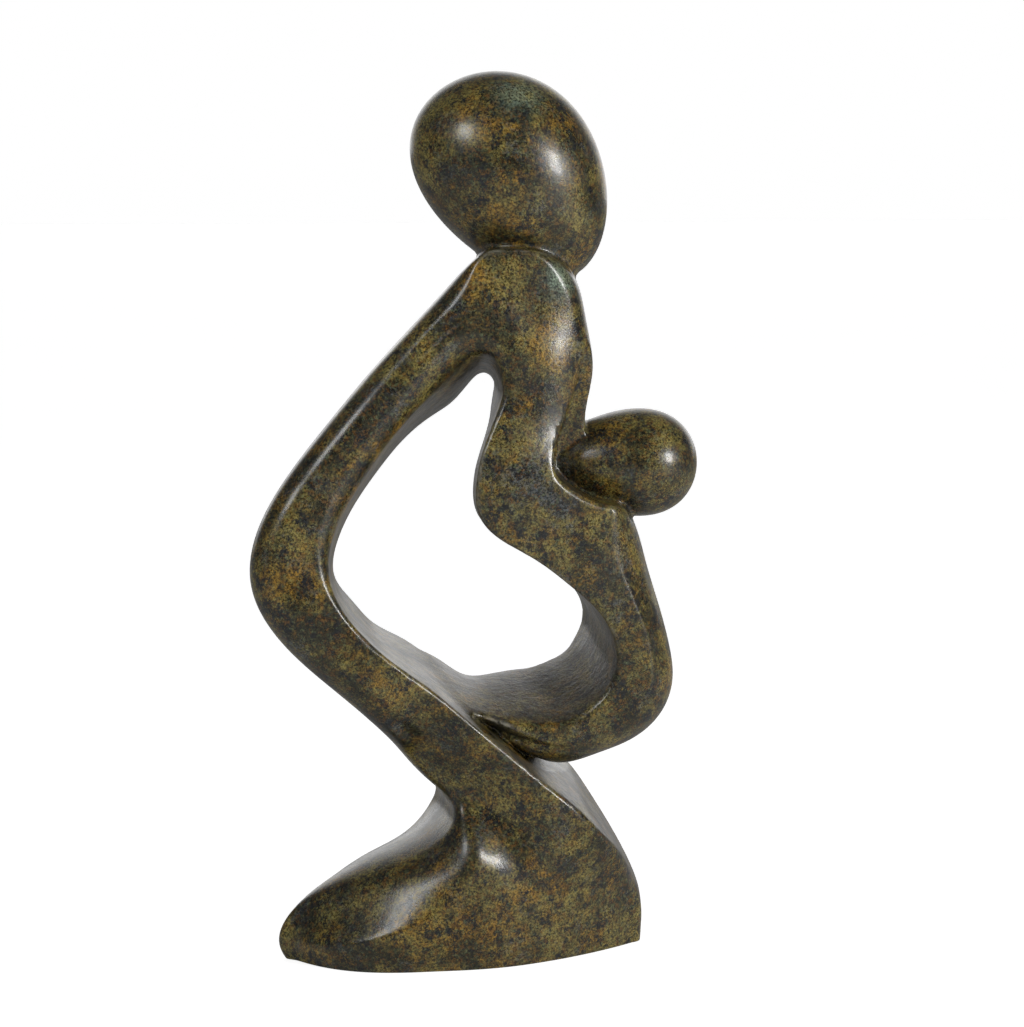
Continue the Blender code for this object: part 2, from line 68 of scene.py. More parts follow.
# Each point of a side outline is x, z, swell, anchor, edge. Anchor is 1 where x, z lies on the
# near face's own edge, and swell is then how far the wall leans out on its way to the far face.
# Anchor is 0 where x, z lies on the wall at mid-depth, and swell is then how far it falls back to
# both faces. Edge is the rounding between wall and face.
BODY_OUTLINE = [
    # nape, back and hip
    (-2.8, 237.8, 0, 0, 1.5), (-10.6, 231.2, 0.5, 0, 6), (-21.1, 220, 1, 0, 8),
    (-39.4, 200.6, 1, 0, 8), (-56.4, 180.7, 1, 0, 8), (-71.4, 160.8, 1, 0, 8),
    (-78.5, 144.5, 1, 0, 8), (-78.9, 130.6, 1, 0, 8), (-70.5, 113.9, 1, 0, 9),
    # underside of the thigh to the fold behind the knee
    (-49.3, 93.5, 1, 0, 9), (-26.8, 71.8, 1, 0, 11), (-17, 61, 1, 0, 11),
    (-10, 53.4, 0, 0, 8),
    # calf and foot
    (-17.1, 42.2, 4, 0, 12), (-34.4, 33.8, 9, 0, 15), (-50.3, 25.5, 9, 0, 15),
    (-62.8, 16.1, 6, 0, 10), (-67.3, 6.2, 3, 0, 5), (-60, -5, 1, 0, 3), (-40, -11, 0, 0, 3),
    (40, -11, 0, 0, 3), (57, -6, 0, 0, 3),
    # knee, and the crisp edge up the thigh to the lap
    (58.6, 5, 1, 1, 3), (57.6, 14, 3.3, 1, 3), (52.5, 26.5, 4.5, 1, 2.5),
    (45.7, 36.5, 6.6, 1, 2), (38, 44.5, 10, 1, 1.5), (29.5, 53.2, 11.5, 1, 1.3),
    (17.2, 63.4, 7.5, 1, 1.2), (7.5, 71.8, 7.5, 1, 1.2), (-8.3, 85.4, 7.5, 1, 1.2),
    (-22, 97.2, 7.2, 1, 1.2), (-33.6, 106.2, 4.2, 1, 1.2), (-43.5, 115.8, 3.7, 1, 1.5),
    (-50.6, 126.3, 1.9, 1, 2),
    # waist, and the softer inner edge of the torso up to the armpit
    (-53.6, 138, 3.4, 1, 3.5), (-51.5, 149.2, 3.9, 1, 5), (-44, 163.2, 3.8, 1, 5.5),
    (-29.2, 184.2, 7.6, 1, 5.5), (-16, 199.8, 16.5, 1, 5.5), (-8, 207.4, 22, 1, 5),
    (-2.4, 208.8, 23.7, 1, 4), (1.8, 207.2, 22.4, 1, 3), (4.4, 202.6, 12, 1, 2.2),
    # inside the arm, and the top of the shoulder
    (5.4, 192.5, 0, 1, 2.2), (10, 184, 0, 1, 3), (12.6, 187, 0, 1, 4), (16.6, 203, 0, 1, 4),
    (18.6, 222, 0, 1, 4), (15.1, 236.5, 0, 0, 2), (6.6, 240, 0, 0, 1.3),
]
ARM_OUTLINE = [
    # top of the shoulder, shoulder and chest
    (-1.5, 238.8, 0, 0, 1.4), (7.6, 240.1, 0, 0, 1.3), (16.1, 239.4, 0, 0, 1.6),
    (24.8, 235, 0, 0, 4.5), (30, 227.4, 0, 0, 5), (33.2, 214.2, 0, 0, 4),
    (35.2, 199.8, 0, 0, 4), (32.6, 180.3, 0, 0, 4), (39.2, 165, 1, 0, 3),
    (46.1, 155.5, 1, 0, 4), (51.1, 146.7, 1, 0, 10),
    # the child's back and seat
    (55.7, 134, 1, 0, 13), (60.8, 120.7, 1, 0, 14), (66.2, 105, 1, 0, 14),
    (67.8, 93, 1, 0, 14), (63.7, 81.4, 1, 0, 14), (53.6, 72.3, 1, 0, 14),
    (40.6, 67.9, 1, 0, 12), (28.4, 65.6, 1, 0, 10), (13, 71.5, 1, 0, 7), (-2, 81, 1, 0, 4),
    (-14, 84, 1, 1, 2), (-28, 93, 2, 1, 2), (-31, 99.5, 4, 1, 1.2),
    # the crisp inner edge: lap, the child's front
    (-17, 91, 12, 1, 1.2), (-6, 84.8, 17.5, 1, 1.2), (5.5, 81.6, 18, 1, 1.2),
    (17, 80.6, 16, 1, 1.2), (27, 81.2, 15, 1, 1.2), (36, 85.9, 12.8, 1, 1.2),
    (42.6, 93.2, 8.5, 1, 1.2), (45, 102, 5.5, 1, 1.2), (42.8, 111.3, 0.7, 1, 1.2),
    (36.8, 120.5, 0, 1, 1.2),
    # forearm, elbow and upper arm
    (29.2, 127.4, 0, 1, 1.2), (17.7, 136.4, 0, 1, 1.2), (9.2, 141.6, 0, 1, 1.2),
    (1.2, 147.2, 3.5, 1, 1.2), (-3.6, 154.5, 2.3, 1, 1.4), (-4.1, 162, 2, 1, 1.4),
    (-2.3, 173, 0.8, 1, 1.4), (2, 184, 2.9, 1, 1.8), (5.6, 194, 10.2, 1, 2.4),
    # inside the shoulder
    (7, 203, 18, 1, 4), (7, 218, 6, 1, 4), (5, 230, 0, 1, 3),
]
# The step where the sunken chest meets the arm and, below, the child's shoulder.
CHEST_OUTLINE = [
    (36, 223.5), (34.2, 219), (33.6, 213), (31.6, 203.3), (29, 194.5), (25, 183),
    (22.8, 176.9), (21.9, 170.3), (22.6, 166), (25.6, 162.6), (30.4, 159.4), (35.2, 157),
    (39.7, 155.6), (44.5, 154.8), (50.6, 152.4), (59.2, 146), (74.2, 150), (79.2, 190),
    (62, 220), (46, 228),
]
CHEST_HALF_LOW = 7.0
CHEST_HALF_HIGH = 20.5
CHEST_LOW_Z = 156.0
CHEST_HIGH_Z = 230.0
CHEST_FLOOR_EDGE = 2.0
CHEST_STEP_EDGE = 1.0
CHILD_STEP_EDGE = 2.0
CHILD_STEP_LOW_Z = 158.0
CHILD_STEP_HIGH_Z = 170.0
# The arm's face rolls back toward the chest.
ARM_ROLL = 5.0
ARM_ROLL_WIDTH = 6.5
ARM_ROLL_LOW_Z = 160.0
ARM_ROLL_HIGH_Z = 200.0

# Above the armpit the two bands are one shoulder.
SHOULDER_Z = 180.0
SHOULDER_FADE = 15.0

# Half the depth of the block: x, z, half-depth. Values between the stations are blended.
SHOULDER_DEPTH = [(4, 238, 24.5), (28, 226, 24.5), (12, 195, 26.5)]
BODY_DEPTH = SHOULDER_DEPTH + [
    (-20, 212, 25.5), (-45, 180, 27), (-68, 145, 29), (-62, 115, 30.5), (-35, 95, 31.5), (-10, 75, 31.5),
    (8, 58, 29.5),
]
ARM_DEPTH = SHOULDER_DEPTH + [
    (4, 160, 28.5), (28, 140, 28), (52, 125, 27), (60, 95, 25), (38, 74, 23.5), (10, 78, 23),
    (-20, 92, 24),
]
BLEND_REACH = 20.0
PLAN_SOFTNESS = 3.2
CROWN = 0.7
CROWN_WIDTH = 10.0
CALF_CROWN = 6.5
CALF_TOP_Z = 34.0
CALF_FADE_Z = 16.0
CALF_FRONT_X = 12.0
CALF_FADE_X = 36.0
LEAST_HALF_DEPTH = 4.0

# An edge's rounding reaches this much further along the wall than across the face, and no more
# than this share of the half depth.
EDGE_DEPTH = 1.2
MOST_EDGE_SHARE = 0.8
# Deep inside the stone the form is cut off at this many roundings.
DEEPEST = -8.0
# How fast a far part of an outline, or a far station, loses its say, and how near counts as on it.
OUTLINE_FALLOFF = -3.0
STATION_FALLOFF = -3.0
ON_OUTLINE = 2.0
# The legs' plan and an egg's thin end keep at least these shares of their full size.
LEAST_LEAF_SHARE = 0.2
LEAST_EGG_SHARE = 0.3
LEAST_SLOPE = 1e-6
# How a wall bows out from the near face's edge: this share of it close to the faces, the rest
# evenly on the way to the far face.
QUICK_BOW = 0.08
QUICK_DEPTH = 4.0

# The upper body is turned a little against the legs: its walls slant by this much for each unit of
# depth, from the near face, which stays where it is drawn.
TURN = 0.23
TURN_LOW_Z = 90.0
TURN_HIGH_Z = 170.0
TURN_FACE = 27.0

# Plan of the kneeling legs on the ground: a leaf, blunt at the foot and pointed at the knee.
LEAF_CENTRE_X = -12.0
LEAF_TOP_Z = 18.0
LEAF_FADE = 44.0
LEAF_WIDENS = 0.07
TUCK_SHARE = 0.05
TUCK_Z = 8.0
TUCK_FADE = 14.0
LEAF_HALF_DEPTH = 30.0
FOOT_REACH = 56.5
FOOT_BLUNTNESS = 3.2
KNEE_REACH = 76.0
KNEE_BLUNTNESS = 1.9

# How far a seam is filled: band to band at the lap and at the shoulder, then each head.
LAP_SEAM = 1.2
SHOULDER_SEAM = 0.05
NECK_SEAM = 3.0
CHILD_SEAM = 1.2

# Heads: x, z, half length, half width, half depth, tilt, taper, bend.
MOTHER_HEAD = (15.3, 263.9, 38.4, 28.9, 26.0, -49.8, -0.129, -0.112)
CHILD_HEAD = (49.1, 166.8, 28.5, 17.3, 18.0, -0.9, 0.38, 0.0)

# The fold between thigh and calf, a valley along this line.
FOLD_LINE = [(-22, 74), (-13, 65), (-6, 58), (2, 48.5), (11.5, 36.5), (19.5, 28)]
FOLD_DEPTH = 10.0
FOLD_HOLDS = 0.35
FOLD_FADE = 0.6
THIGH_SLOPE = 13.0
CALF_SLOPE = 7.5


def closed_curve(points, per_span=10):
    """A closed cubic spline through the points; further columns are carried along with x and z."""
    p = np.array(points, float)
    count = len(p)
    span = np.linalg.norm(np.roll(p[:, :2], -1, 0) - p[:, :2], axis=1)
    before = np.roll(span, 1)
    matrix = np.zeros((count, count))
    i = np.arange(count)
    matrix[i, i] = 2 * (span + before)
    matrix[i, (i + 1) % count] = span
    matrix[i, (i - 1) % count] = before
    slope = (np.roll(p, -1, 0) - p) / span[:, None]
    second = np.linalg.solve(matrix, 6 * (slope - np.roll(slope, 1, 0)))
    t = np.linspace(0, 1, per_span, endpoint=False)[None, :, None]
    s = 1 - t
    bow = ((s**3 - s) * second[:, None] + (t**3 - t) * np.roll(second, -1, 0)[:, None]) / 6
    curve = s * p[:, None] + t * np.roll(p, -1, 0)[:, None] + span[:, None, None] ** 2 * bow
    return curve.reshape(-1, p.shape[1])


def outline_field(x, z, outline):
    """Distance to the outline, negative inside, and its further columns blended from nearby."""
    best = np.full(x.shape, np.inf)
    columns = np.zeros((outline.shape[1] - 2, *x.shape))
    total = np.zeros(x.shape)
    inside = np.zeros(x.shape, bool)
    for p, q in zip(outline, np.roll(outline, -1, 0)):
        along_x, along_z = q[0] - p[0], q[1] - p[1]
        t = ((x - p[0]) * along_x + (z - p[1]) * along_z) / (along_x**2 + along_z**2)
        t = np.clip(t, 0, 1)
        squared = (x - p[0] - t * along_x) ** 2 + (z - p[1] - t * along_z) ** 2
        best = np.minimum(best, squared)
        weight = (squared + ON_OUTLINE) ** OUTLINE_FALLOFF * np.hypot(along_x, along_z)
        total += weight
        for k in range(len(columns)):
            columns[k] += weight * (p[2 + k] + t * (q[2 + k] - p[2 + k]))
        if q[1] != p[1]:
            crosses = (p[1] > z) != (q[1] > z)
            inside ^= crosses & (x < p[0] + (z - p[1]) * along_x / along_z)
    distance = np.sqrt(best)
    return np.where(inside, -distance, distance), columns / total


def ease(t):
    t = np.clip(t, 0, 1)
    return t * t * (3 - 2 * t)


def blended(x, z, stations):
    top = np.zeros(x.shape)
    total = np.zeros(x.shape)
    for station_x, station_z, value in stations:
        squared = (x - station_x) ** 2 + (z - station_z) ** 2
        weight = (squared + BLEND_REACH**2) ** STATION_FALLOFF
        top += weight * value
        total += weight
    return top / total


def leaf_half_depth(x):
    toward_foot = np.clip((LEAF_CENTRE_X - x) / FOOT_REACH, 0, 1) ** FOOT_BLUNTNESS
    toward_knee = np.clip((x - LEAF_CENTRE_X) / KNEE_REACH, 0, 1) ** KNEE_BLUNTNESS
    return LEAF_HALF_DEPTH * np.maximum(1 - toward_foot - toward_knee, LEAST_LEAF_SHARE)


def fold_depth(x, z):
    """How far the faces sink along the fold: steep on the calf's side, gentle on the thigh's."""
    best = np.full(x.shape, np.inf)
    side = np.zeros(x.shape)
    along = np.zeros(x.shape)
    line = np.array(FOLD_LINE, float)
    lengths = np.hypot(*np.diff(line, axis=0).T)
    done = 0.0
    for p, q, length in zip(line[:-1], line[1:], lengths):
        way = (q - p) / length
        t = np.clip((x - p[0]) * way[0] + (z - p[1]) * way[1], 0, length)
        distance = np.hypot(x - p[0] - t * way[0], z - p[1] - t * way[1])
        nearer = distance < best
        best = np.where(nearer, distance, best)
        side = np.where(nearer, way[0] * (z - p[1]) - way[1] * (x - p[0]), side)
        along = np.where(nearer, (done + t) / lengths.sum(), along)
        done += length
    width = np.where(side > 0, THIGH_SLOPE, CALF_SLOPE)
    fade = 1 - ease((along - FOLD_HOLDS) / FOLD_FADE)
    return FOLD_DEPTH * fade * np.exp(-((best / width) ** 2))


def plan_layers(x, z):
    """Everything about the form that depends on x and z alone, one layer each."""
    body, body_columns = outline_field(x, z, closed_curve(BODY_OUTLINE))
    arm, arm_columns = outline_field(x, z, closed_curve(ARM_OUTLINE))
    body_half = blended(x, z, BODY_DEPTH)
    low = 1 - ease((z - LEAF_TOP_Z) / LEAF_FADE)
    tuck = TUCK_SHARE * ease((TUCK_Z - z) / TUCK_FADE)
    leaf = leaf_half_depth(x) * (1 - tuck) + LEAF_WIDENS * np.clip(z, 0, LEAF_TOP_Z + LEAF_FADE)
    body_half = body_half + (leaf - body_half) * low
    body_half = body_half - fold_depth(x, z)
    arm_half = blended(x, z, ARM_DEPTH)
    chest, _ = outline_field(x, z, closed_curve(CHEST_OUTLINE))

    high = ease((z - SHOULDER_Z) / SHOULDER_FADE)
    toward_arm = np.clip(0.5 + (body - arm) / SHOULDER_FADE, 0, 1)
    joined = np.minimum(body, arm)
    joined_columns = body_columns + (arm_columns - body_columns) * toward_arm
    joined_half = (body_half + arm_half) / 2
    body, arm = body + (joined - body) * high, arm + (joined - arm) * high
    body_columns = body_columns + (joined_columns - body_columns) * high
    arm_columns = arm_columns + (joined_columns - arm_columns) * high
    body_half = body_half + (joined_half - body_half) * high
    arm_half = arm_half + (joined_half - arm_half) * high
    rolled = ease((z - ARM_ROLL_LOW_Z) / (ARM_ROLL_HIGH_Z - ARM_ROLL_LOW_Z))
    roll = ARM_ROLL * np.exp(-np.maximum(chest, 0) / ARM_ROLL_WIDTH) * rolled
    calf = ease((CALF_TOP_Z - z) / CALF_FADE_Z) * ease((CALF_FRONT_X - x) / CALF_FADE_X)
    crown = CROWN + CALF_CROWN * calf
    body_half = body_half - crown * np.exp(np.minimum(body, 0) / CROWN_WIDTH) - roll
    body_half = np.maximum(body_half, LEAST_HALF_DEPTH)
    arm_half = arm_half - CROWN * np.exp(np.minimum(arm, 0) / CROWN_WIDTH) - roll
    arm_layers = [arm, *arm_columns, arm_half]
    return np.array([body, *body_columns, body_half, *arm_layers, chest])


def rounded_meet(a, b, radius):
    """Inside both a and b, with the edge between them rounded."""
    corner = np.hypot(np.maximum(a + radius, 0), np.maximum(b + radius, 0))
    return np.minimum(np.maximum(a, b), -radius) + corner


def blended_join(a, b, reach):
    """Inside a or b, with the seam between them filled."""
    overlap = np.maximum(reach - np.abs(a - b), 0) / reach
    return np.minimum(a, b) - overlap * overlap * reach / 4


def slab(y, distance, swell, anchor, edge, half):
    across = np.clip(y / half, -1, 1)
    share = (1 + across) / 2
    to_face = np.maximum(half - np.abs(y), 0)
    bow = QUICK_BOW * (1 - np.exp(-to_face / QUICK_DEPTH))
    bow = bow + (1 - QUICK_BOW) * share
    wall = distance - swell * (anchor * bow - (1 - anchor) * across**2)
    depth = np.minimum(EDGE_DEPTH * edge, MOST_EDGE_SHARE * half)
    wall = np.maximum(wall / edge, DEEPEST)
    face = np.maximum((np.abs(y) - half) / depth, DEEPEST)
    return rounded_meet(wall, face, 1.0) * np.where(wall > face, edge, depth)


def egg(x, y, z, shape):
    centre_x, centre_z, length, width, depth, tilt, taper, bend = shape
    turn = np.radians(tilt)
    u = (np.cos(turn) * (x - centre_x) + np.sin(turn) * (z - centre_z)) / length
    v = (np.cos(turn) * (z - centre_z) - np.sin(turn) * (x - centre_x)) / width
    swell = np.maximum(1 + taper * u, LEAST_EGG_SHARE)
    v = (v - bend * u * u) / swell
    w = y / depth / swell
    reach = np.sqrt(u * u + v * v + w * w)
    slope = np.sqrt((u / length) ** 2 + (v / width) ** 2 + (w / depth) ** 2)
    return reach * (reach - 1) / np.maximum(slope, LEAST_SLOPE)


def turned_by(y, z):
    """How far the upper body's turn moves a drawn place in x."""
    return TURN * ease((z - TURN_LOW_Z) / (TURN_HIGH_Z - TURN_LOW_Z)) * (y + TURN_FACE)


def form(x, y, z, layers):
    """Negative inside the stone. The bands are drawn before the turn, the heads after it."""
    body = slab(y, *layers[:5])
    arm = slab(y, *layers[5:10])
    seam = LAP_SEAM + (SHOULDER_SEAM - LAP_SEAM) * ease((z - SHOULDER_Z) / SHOULDER_FADE)
    stone = blended_join(body, arm, seam)
    toward_shoulder = ease((z - CHEST_LOW_Z) / (CHEST_HIGH_Z - CHEST_LOW_Z))
    chest_half = CHEST_HALF_LOW + (CHEST_HALF_HIGH - CHEST_HALF_LOW) * toward_shoulder
    hollow = rounded_meet(layers[10], chest_half - np.abs(y), CHEST_FLOOR_EDGE)
    above_child = ease((z - CHILD_STEP_LOW_Z) / (CHILD_STEP_HIGH_Z - CHILD_STEP_LOW_Z))
    step_edge = CHILD_STEP_EDGE + (CHEST_STEP_EDGE - CHILD_STEP_EDGE) * above_child
    stone = rounded_meet(stone, -hollow, step_edge)
    x = x + turned_by(y, z)
    stone = blended_join(stone, egg(x, y, z, MOTHER_HEAD), NECK_SEAM)
    return blended_join(stone, egg(x, y, z, CHILD_HEAD), CHILD_SEAM)


def softened(layers, passes):
    """The layers with each value eased toward its neighbours, which takes out creases and noise."""
    for axis in (1, 2) * passes:
        margins = [(0, 0), (1, 1) if axis == 1 else (0, 0), (1, 1) if axis == 2 else (0, 0)]
        sides = np.pad(layers, margins, mode="edge")
        count = layers.shape[axis]
        before = sides.take(np.arange(count), axis)
        after = sides.take(np.arange(2, count + 2), axis)
        layers = (before + 2 * layers + after) / 4
    return layers


def fill_pinches(inside):
    """Makes stone of the grid corners where the surface would touch itself across a cell's side."""
    pinched = True
    while pinched:
        pinched = False
        for axis in range(3):
            grid = np.moveaxis(inside, axis, 0)
            a, b, c, d = grid[:, :-1, :-1], grid[:, 1:, :-1], grid[:, 1:, 1:], grid[:, :-1, 1:]
            pinch = (a == c) & (b == d) & (a != b)
            for corner in (a, b, c, d):
                corner |= pinch
            pinched = pinched or bool(pinch.any())


# A little of this is added to each cell's tangent planes, so that flat cells stay well defined.
EDGE_CALM = 0.1
# A grid corner inside the stone counts as at least this share of a cell deep.
LEAST_INSIDE = 0.02


class Stone:
    """The form with its plan layers sampled on a fine grid, so that any point is quick to test."""

    LOW = np.array([-84.0, -38.0, -15.0])
    HIGH = np.array([88.0, 38.0, 306.0])

    def __init__(self, spacing):
        self.spacing = spacing
        count = np.ceil((self.HIGH - self.LOW) / spacing).astype(int) + 2
        x = self.LOW[0] + spacing * np.arange(count[0])
        z = self.LOW[2] + spacing * np.arange(count[2])
        layers = plan_layers(*np.meshgrid(x, z, indexing="ij"))
        self.layers = softened(layers, round(PLAN_SOFTNESS / spacing))

    def layers_at(self, x, z):
        i = (x - self.LOW[0]) / self.spacing
        k = (z - self.LOW[2]) / self.spacing
        i0 = np.clip(i.astype(int), 0, self.layers.shape[1] - 2)
        k0 = np.clip(k.astype(int), 0, self.layers.shape[2] - 2)
        i, k = i - i0, k - k0
        near = self.layers[:, i0, k0] * (1 - i) + self.layers[:, i0 + 1, k0] * i
        far = self.layers[:, i0, k0 + 1] * (1 - i) + self.layers[:, i0 + 1, k0 + 1] * i
        return near * (1 - k) + far * k

    def value(self, p):
        x, y, z = p.T
        x = x - turned_by(y, z)
        return form(x, y, z, self.layers_at(x, z))

    def slope(self, p, reach=0.1):
        out = np.zeros(p.shape)
        for axis in range(3):
            ahead = np.zeros(3)
            ahead[axis] = reach
            out[:, axis] = (self.value(p + ahead) - self.value(p - ahead)) / (2 * reach)
        return out

    def surface(self, cell):
        """Points and four-sided faces of the surface, one point to each grid cell that it crosses.

        Each point goes where the tangent planes in its cell meet best, which keeps the edges crisp.
        """
        count = np.ceil((self.HIGH - self.LOW) / cell).astype(int) + 1
        x, y, z = (self.LOW[k] + cell * np.arange(count[k]) for k in range(3))
        plan_x, plan_z = np.meshgrid(x, z, indexing="ij")
        layers = self.layers_at(plan_x.ravel(), plan_z.ravel()).reshape(-1, len(x), 1, len(z))
        field = form(x[:, None, None], y[None, :, None], z[None, None, :], layers)
        inside = field < 0
        fill_pinches(inside)
        field = np.where(inside, np.minimum(field, -LEAST_INSIDE * cell), field)
        cells = np.array(field.shape) - 1

        # Each grid edge that the surface crosses touches the four cells round it.
        crossings, touched, outward = [], [], []
        for axis in range(3):
            step = np.eye(3, dtype=int)[axis]
            here = tuple(slice(0, n - s) for n, s in zip(field.shape, step))
            there = tuple(slice(s, n) for n, s in zip(field.shape, step))
            start = np.argwhere(inside[here] != inside[there])
            a = field[tuple(start.T)]
            b = field[tuple((start + step).T)]
            crossings.append(start + (a / (a - b))[:, None] * step)
            outward.append(a < 0)
            across, along = np.roll(step, 1), np.roll(step, 2)
            ring = [start, start - across, start - across - along, start - along]
            touched.append(np.stack([np.ravel_multi_index(c.T, cells) for c in ring], 1))
        points = self.LOW + cell * np.concatenate(crossings)
        points[:, 0] += turned_by(points[:, 1], points[:, 2])
        touched = np.concatenate(touched)
        outward = np.concatenate(outward)
        normals = self.slope(points)
        normals /= np.linalg.norm(normals, axis=1)[:, None]

        used, corners = np.unique(touched, return_inverse=True)
        corners = corners.reshape(touched.shape)
        owner = corners.ravel()
        p = np.repeat(points, 4, axis=0)
        n = np.repeat(normals, 4, axis=0)
        amount = np.bincount(owner)[:, None]
        mean = np.stack([np.bincount(owner, p[:, k]) for k in range(3)], 1) / amount
        offset = ((p - mean[owner]) * n).sum(1)
        pull = np.stack([np.bincount(owner, n[:, k] * offset) for k in range(3)], 1)
        square = np.zeros((len(used), 3, 3))
        for row in range(3):
            for column in range(3):
                square[:, row, column] = np.bincount(owner, n[:, row] * n[:, column])
        square += EDGE_CALM * np.eye(3)
        shift = np.linalg.solve(square, pull[:, :, None])[:, :, 0]
        vertices = mean + np.clip(shift, -cell, cell)
        faces = np.where(outward[:, None], corners, corners[:, ::-1])
        return vertices, faces


# The photograph's view of the carving, in degrees and metres.
CAMERA_AZIMUTH = -12.0
CAMERA_ELEVATION = 7.0
CAMERA_DISTANCE = 0.9715
CAMERA_LENS = 100.0
CAMERA_SEES = 50.0
CAMERA_TARGET = Vector((0.0123, 0.0, 0.1507))

# Soft boxes: place seen from the camera (right, up, toward it), distance, width, height, power, colour.
SOFT_BOXES = {
    "soft_box_right": ((0.80, 0.17, 0.55), 1.2, 0.22, 0.32, 8.0, (1.0, 0.985, 0.96)),
    "soft_box_left": ((-0.50, 0.42, 0.75), 1.3, 0.38, 0.38, 4.2, (0.97, 0.985, 1.0)),
}
# Brightness of the backdrop and of everything else, and where one gives way to the other, as the
# cosine of the angle from the backdrop's middle.
BRIGHT_SIDE = 1.45
DARK_SIDE = 0.10
BACKDROP_EDGE = (0.60, 0.92)
FLOOR_TONE = 0.78
FLOOR_TONE_VARIES = 0.02
FLOOR_GLOW = 0.80
FLOOR_ROUGHNESS = 0.7
# Half the floor's width and its gap under the stone, in metres, and its noise as below.
FLOOR_REACH = 12.0
FLOOR_GAP = 0.0002
FLOOR_NOISE = (0.4, 2, 0.5)
FLOOR_STEP = (0.3, 0.7)
WHITE = (1.0, 1.0, 1.0, 1.0)
SEEN_BACKDROP = 1.0

# Stone colours, linear.
OLIVE = (0.020, 0.019, 0.008)
OCHRE = (0.185, 0.150, 0.040)
GOLD = (0.25, 0.138, 0.016)
DARK = (0.008, 0.010, 0.012)
# Blue grey mottles the stone; at a few places it stands for a painted sheen.
BLUE = (0.060, 0.072, 0.084)
# Green: a patch of the stone on the shoulder, and a painted sheen high on the mother's head.
GREEN = (0.15, 0.20, 0.145)
RUST = (0.105, 0.050, 0.010)
MOSS = (0.075, 0.092, 0.045)
# Pale: a painted highlight along crisp outer edges, partly their wear.
EDGE_GLINT_AND_WEAR = (0.34, 0.32, 0.26)
DUST = (0.16, 0.15, 0.14)
# Noises: size of the largest features in metres, detail, roughness.
TONE_NOISE = (0.018, 8, 0.80)
GOLD_NOISE = (0.013, 7, 0.82)
BLUE_NOISE = (0.011, 7, 0.82)
FLECK_NOISE = (0.006, 6, 0.80)
RUST_NOISE = (0.0021, 3, 0.8)
SPECK_NOISE = (0.0017, 3, 0.8)
CLOUD_NOISE = (0.008, 4, 0.8)
GRAIN_NOISE = (0.0008, 2, 0.9)
EDGE_MARK_NOISE = (0.004, 3, 0.7)
WEAR_NOISE = (0.010, 3, 0.7)
PIT_NOISE = (0.0008, 2, 0.7)
RASP_NOISE = (0.0026, 3, 0.6)
# Steps: where a colour sets in along its noise and where it is full, then how much of it there is
# at those two places, from 0 to 1 where they are left out.
OCHRE_STEP = (0.43, 0.59)
GOLD_STEP = (0.50, 0.66, 0.0, 0.9)
BLUE_STEP = (0.52, 0.68, 0.0, 0.85)
FLECK_STEP = (0.50, 0.59)
RUST_STEP = (0.50, 0.64, 0.0, 0.8)
MOSS_STEP = (0.52, 0.66, 0.0, 0.7)
CLOUD_STEP = (0.38, 0.56)
GRAIN_STEP = (0.32, 0.68, 0.15, 1.95)
DUST_STEP = (0.3, 0.7, 0.15, 0.5)
EDGE_MARK_STEP = (0.36, 0.58, 0.15, 0.85)
ROUGHNESS_STEP = (0.35, 0.65, 0.24, 0.38)
# A place raises its colour's noise by this much; at the blue places this paints a sheen.
GOLD_RISE = 0.07
BLUE_SHEEN_RISE = 0.10
# Finish: the wax, what rasping adds to the roughness, and the shares of coarse and fine wear.
STONE_IOR = 1.52
WAX_WEIGHT = 0.25
WAX_ROUGHNESS = 0.16
RASPED_ROUGHNESS = 0.12
COARSE_WEAR = 0.6
FINE_WEAR = 0.4
# Relief of pits, of rasped walls and of polished faces, and the height in metres that it stands for.
PIT_RELIEF = 0.3
RASPED_RELIEF = 1.6
POLISHED_RELIEF = 0.1
RELIEF_STRENGTH = 0.8
RELIEF_HEIGHT = 0.0003
# Outer edges get the painted highlight and wear colour from this curvature on, in 1/m, and all of it at
# the second.
GLINT_AND_WEAR_FROM = 180.0
GLINT_AND_WEAR_FULL = 520.0
LEAST_SQUARED_LENGTH = 1e-9
# The flat underside: how straight down its face looks, and how close to the ground it lies.
STRAIGHT_DOWN = -0.999
ON_GROUND = 1e-5
CUT_TOLERANCE = 1e-7
# A wall is where the surface faces less than this far toward a face. Heads have none.
WALL_FROM = 0.6
WALL_FADE = 0.3
HEAD_MARGIN = 3.0
# Where the block shows more of one colour: places and reaches in metres. The blue places and the
# first green place are painted sheen, on the arm, at the waist's inner edge and high on the mother's
# head.
GREEN_PATCH_AND_SHEEN = [((0.0103, -0.0141, 0.2882), 0.013), ((0.0229, -0.0231, 0.2302), 0.009)]
GOLD_PATCHES = [
    ((-0.057, -0.029, 0.135), 0.016),
    ((0.020, -0.025, 0.212), 0.016),
    ((-0.012, -0.029, 0.014), 0.045),
]
BLUE_SHEEN_SPOTS = [((0.017, -0.027, 0.163), 0.024), ((-0.052, -0.029, 0.143), 0.009)]


def camera_axes():
    a = math.radians(CAMERA_AZIMUTH)
    e = math.radians(CAMERA_ELEVATION)
    toward = Vector((math.sin(a) * math.cos(e), -math.cos(a) * math.cos(e), math.sin(e)))
    right = Vector((math.cos(a), math.sin(a), 0.0))
    return right, toward.cross(right), toward


def link(obj):
    bpy.context.scene.collection.objects.link(obj)
    return obj


